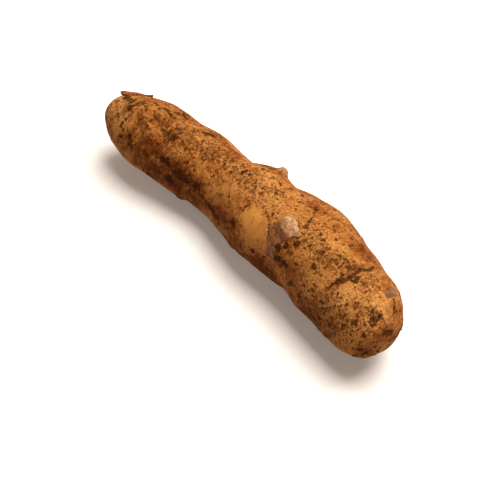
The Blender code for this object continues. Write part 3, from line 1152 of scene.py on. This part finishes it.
# %% The stolon
# share of its length from the tip, x, angle, height, half width, half thickness
STOLON_PATH = (
    (0.00, -67.9, 69, 2.15, 0.5, 0.40),
    (0.12, -66.9, 70, 1.25, 1.2, 0.95),
    (0.28, -65.2, 67.5, 0.45, 1.9, 1.05),
    (0.50, -63.1, 60, 0.25, 1.9, 0.70),
    (0.66, -61.6, 53.5, 0.10, 1.4, 0.45),
    (0.80, -60.2, 48.5, 0.10, 0.9, 0.40),
    (0.93, -58.9, 45, 0.30, 0.7, 0.45),
    (1.00, -58.4, 43.8, 0.25, 0.9, 0.50),
)
STOLON_TAN = (0.36, 0.155, 0.055, 1)
STEM_END_RADIUS = 11.0


def on_skin(x, angle, proud):
    """Points on or above the skin, in metres, where the tuber lies on the table."""
    return (skin(x, angle, proud) - np.array([0.0, 0.0, DROP])) * MM


def finish_piece(name, made, material):
    """Makes a bmesh a piece that rides on the tuber, with its faces pointing outwards."""
    if made.calc_volume(signed=True) < 0:
        bmesh.ops.reverse_faces(made, faces=made.faces)
    piece = add_mesh(name, made)
    piece.data.shade_smooth()
    piece.data.materials.append(material)
    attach(piece, "root")
    return piece


def stolon_material():
    """Dry brown fibre with pale ridges."""
    material, tree = new_material("dry_stolon")
    fibre = cloud(tree, 1.0, 4, 0.6, at=stretched(tree, (350, 1500, 1500)))
    tone = blend(tree, step(tree, fibre, 0.38, 0.54), CORK, STOLON_TAN)
    dirt = step(tree, cloud(tree, 700, 4, 0.65), 0.54, 0.62)
    tone = blend(tree, times(tree, dirt, 0.7), tone, SOIL_LIGHT)
    dress(tree, tone, rough=0.8, gloss=0.2)
    emboss(tree, fibre, depth=0.3)
    return material


def make_stolon():
    """The torn tongue of the stolon, with a split tip."""
    made = unit_ball(48, 80)
    unit = np.array([vert.co for vert in made.verts])
    share = (unit[:, 0] + 1) / 2
    around = np.arctan2(unit[:, 2], unit[:, 1])
    slim = np.hypot(unit[:, 1], unit[:, 2]) ** 0.45
    side = slim * np.cos(around)
    ridge = 1 + 0.12 * np.sin(7 * around + 5 * share) + 0.08 * np.sin(15 * share)
    split = 0.16 * (1 - share) ** 4 * bell((side - 0.1) / 0.25)
    torn = 0.05 * (1 - share) ** 4 * np.sin(9 * side + 1)
    share_here = share + split + torn
    path = np.array(STOLON_PATH).T
    x, angle, lift, half, flat = (through(share_here, path[0], row) for row in path[1:])
    curl = 0.35 * (1 - share) * side**2
    knob = 1 + 0.8 * bell((share - 0.95) / 0.05)
    thick = flat * knob * ridge * slim * np.sin(around)
    turn = np.radians(angle) + side * half * ridge / STEM_END_RADIUS
    move_points(made, on_skin(x, turn, lift + curl + thick))
    return finish_piece("stolon_end", made, stolon_material())


stolon = make_stolon()
print("stolon", [round(v / MM, 1) for v in stolon.dimensions], "mm")

# %% [markdown]
# ## Loose skin
# Beside the rubbed place the skin has come off in one thin scrap. Its upper part is
# lifted and crumpled and has dried pale. Past a fold, its lower part clings like wet
# paper, so the brown skin and the soil below show through. A smaller scrap clings near
# the rose end. Each is a ball pressed flat: its rim runs through the corners of the
# scrap, and its two faces stay a fraction of a millimetre apart. What lies below is
# painted on it, because a solid that light passes through would be slow to render.

# %% Scraps of skin
PEELED_CORNERS = (
    (14.9, 125),
    (16.4, 118),
    (16.9, 111),
    (18, 104.5),
    (19.7, 101.5),
    (22.4, 105),
    (26.2, 111),
    (26, 115.5),
    (24.2, 120),
    (23.6, 127.5),
    (22.2, 136.5),
    (21.6, 147),
    (22.2, 154.5),
    (19.5, 160),
    (17.6, 147),
    (16.4, 134),
)
ROSE_CORNERS = (
    (60.1, 68),
    (60, 62),
    (59.9, 55),
    (60, 48),
    (60.3, 41.5),
    (61.1, 41),
    (62, 42.5),
    (62.3, 50),
    (62.4, 57),
    (62.3, 64),
    (61.9, 69),
    (61, 69.5),
)
# thickness, and heights above the skin: where it clings, where it is lifted, the curl of
# its rim and its crumples
SCRAP_THICK = 0.16
SCRAP_CLINGS = 0.08
SCRAP_LIFTED = 0.2
SCRAP_CURL = 0.15
SCRAP_CRUMPLE = 0.35
ROSE_SCRAP_LIFT = 0.2
SCRAP_PALE = (0.46, 0.278, 0.155, 1)
SCRAP_TAN = (0.29, 0.160, 0.082, 1)
SCRAP_CLINGING = (0.235, 0.108, 0.047, 1)
SCRAP_SHADE = (0.105, 0.042, 0.017, 1)
# x, angle and reach of the soil in the fold, and of the soil that shows through the scrap
SOIL_UNDER = (
    (15.8, 120, 0.7),
    (18.2, 119.8, 0.7),
    (19.6, 122.2, 0.8),
    (20.8, 124.8, 0.6),
    (23.9, 132, 2.2),
    (22.4, 141, 1.7),
    (22.4, 151, 1.2),
)


def scrap_material():
    """Thin, dry skin: pale where it is lifted, brown where it clings, with painted shade along the
    fold.
    """
    material, tree = new_material("loose_skin")
    creases = cloud(tree, 420, 5, 0.65, 0.8)
    lifted_tone = blend(tree, step(tree, creases, 0.42, 0.58), SCRAP_TAN, SCRAP_PALE)
    through_it = step(tree, cloud(tree, 420, 5, 0.7), 0.41, 0.57)
    clinging = blend(tree, through_it, SCRAP_SHADE, SCRAP_CLINGING)
    under_it = plus(tree, mark(tree, "soil"), swing(tree, cloud(tree, 520, 5, 0.72), 0.5))
    under_it = step(tree, under_it, 0.45, 0.95)
    clinging = blend(tree, times(tree, under_it, 0.85), clinging, SOIL)
    tone = blend(tree, mark(tree, "lifted"), clinging, lifted_tone)
    # The dark line along the fold, where the lifted part turns onto the clinging part, is painted
    # shade.
    from_fold = calc(tree, "ABSOLUTE", less(tree, mark(tree, "lifted"), 0.25))
    tone = blend(tree, step(tree, from_fold, 0.17, 0.03, 0.0, 0.6), tone, SCRAP_SHADE)
    dust = step(tree, cloud(tree, 1100, 4, 0.7), 0.56, 0.66)
    tone = blend(tree, times(tree, dust, 0.35), tone, SOIL_LIGHT)
    dress(tree, tone, rough=0.5, gloss=0.15)
    emboss(tree, creases, depth=0.25, strength=0.7)
    return material


def make_scrap(name, corners, lifted, material):
    """A thin scrap whose rim runs through corners, and which lifted raises, from 0 to 1."""
    made = bmesh.new()
    bmesh.ops.create_uvsphere(made, u_segments=96, v_segments=48, radius=1.0)
    unit = np.array([vert.co for vert in made.verts])
    corner = np.array(corners, float)
    middle = corner.mean(axis=0)
    loop = np.vstack([corner[-2:], corner, corner[:3]])
    turns = np.arange(len(loop)) - 2.0
    rim = np.hypot(unit[:, 0], unit[:, 1])
    turn = np.arctan2(unit[:, 1], unit[:, 0]) / (2 * math.pi) % 1.0 * len(corner)
    torn = 1 + 0.035 * np.sin(5.3 * turn + 1) + 0.03 * np.sin(11.7 * turn)
    x = middle[0] + rim * torn * (through(turn, turns, loop[:, 0]) - middle[0])
    angle = middle[1] + rim * torn * (through(turn, turns, loop[:, 1]) - middle[1])
    amount = lifted(x, angle)
    spots = [Vector((0.55 * u, 0.16 * v, 3.0)) for u, v in zip(x, angle)]
    folds = [noise.fractal(spot, 1.0, 2.0, 3) for spot in spots]
    rise = SCRAP_LIFTED + SCRAP_CURL * rim**3 + SCRAP_CRUMPLE * np.abs(folds)
    face = 0.5 * SCRAP_THICK * np.sign(unit[:, 2]) * (1 - rim**6)
    move_points(made, on_skin(x, np.radians(angle), SCRAP_CLINGS + amount * rise + face))
    under = np.zeros(len(x))
    for at_x, at_angle, reach in SOIL_UNDER:
        away = np.hypot(x - at_x, SKIN_RADIUS * np.radians(angle - at_angle))
        under = np.maximum(under, np.exp(-((away / reach) ** 3)))
    piece = finish_piece(name, made, material)
    keep_marks(piece.data, lifted=amount, soil=under)
    print(name, [round(v / MM, 1) for v in piece.dimensions], "mm")


def peeled_lift(x, angle):
    """The upper part of the big scrap stands off the skin."""
    above = (118.5 + 1.4 * np.clip(x - 17, -2, 4.5) - angle + np.sin(1.7 * x)) / 20.0
    beside = (x - 16.6 + 0.05 * (angle - 112)) / 1.6
    return np.clip(np.minimum(above, beside) + 0.25, 0.0, 1.0)


def rose_lift(x, angle):
    """The small scrap stands off a little everywhere."""
    return np.full_like(x, ROSE_SCRAP_LIFT)


loose_skin = scrap_material()
make_scrap("peeled_scrap", PEELED_CORNERS, peeled_lift, loose_skin)
make_scrap("rose_scrap", ROSE_CORNERS, rose_lift, loose_skin)

# %% [markdown]
# ## Crumbs
# Grains of dry soil still cling to the clots. There are hundreds, so each is a tiny
# ball of 20 faces, made rough, squashed, turned and sunk into the skin by a seeded draw,
# and all of them are one piece.

# %% Crumbs of soil
CRUMBS = 520
CRUMB_SIZE = (0.14, 0.46)
CRUMB_ROUGH = (0.75, 1.2)
CRUMB_SQUASH = (0.55, 1.0)
# x, angle, height and size of crumbs that stand out against the background
SINGLE_CRUMBS = (
    (-41, 193, 0.1, 0.75),
    (-42.5, 190, 0.1, 0.5),
    (69, 205, 0.1, 0.6),
    (-58.6, 44.5, 0.75, 0.45),
    (-68.2, 69, 2.3, 0.28),
    (-9, 91, 0.1, 0.6),
)


def crumb_material():
    """Dry soil."""
    material, tree = new_material("soil")
    tone = blend(tree, step(tree, cloud(tree, 1600, 3), 0.35, 0.65), SOIL, SOIL_LIGHT)
    dress(tree, tone, rough=0.95, gloss=0.1)
    return material


def make_crumbs():
    """All the crumbs, in one piece."""
    draw = np.random.default_rng(5)
    likely = np.flatnonzero((soil > 0.5) & (points[:, 2] > 1.0))
    middles = points[draw.choice(likely, CRUMBS)] * MM
    sizes = draw.uniform(*CRUMB_SIZE, CRUMBS) * draw.random(CRUMBS) ** 0.6
    single = np.array(SINGLE_CRUMBS)
    edge = on_skin(single[:, 0], np.radians(single[:, 1]), single[:, 2])
    middles = np.vstack([middles, edge])
    sizes = np.concatenate([np.maximum(sizes, CRUMB_SIZE[0]), single[:, 3]]) * MM

    heap = bmesh.new()
    for middle, size in zip(middles, sizes):
        grain = bmesh.ops.create_icosphere(heap, subdivisions=1, radius=size)["verts"]
        for vert in grain:
            vert.co *= draw.uniform(*CRUMB_ROUGH)
        squash = Matrix.Diagonal((*draw.uniform(*CRUMB_SQUASH, 3), 1.0))
        turned = Euler(draw.uniform(0.0, 2 * math.pi, 3)).to_matrix().to_4x4()
        placed = Matrix.Translation(middle) @ turned @ squash
        bmesh.ops.transform(heap, matrix=placed, verts=grain)
    bmesh.ops.recalc_face_normals(heap, faces=heap.faces)
    return finish_piece("soil_crumbs", heap, crumb_material())


crumbs = make_crumbs()
print("faces in the crumbs", len(crumbs.data.polygons))

# %% [markdown]
# ## Last looks
# The fine skin has to lie on the imported solid, so its distance from it is measured at
# every fortieth point.

# %% How close the fine skin is to the imported solid
solid = bmesh.new()
solid.from_mesh(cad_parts["potato"].data)
tree_of_solid = BVHTree.FromBMesh(solid)
solid.free()
gaps = [tree_of_solid.find_nearest(Vector(p) * MM)[3] / MM for p in points[::40]]
print("largest gap to the packed solid", round(max(gaps), 2), "mm")
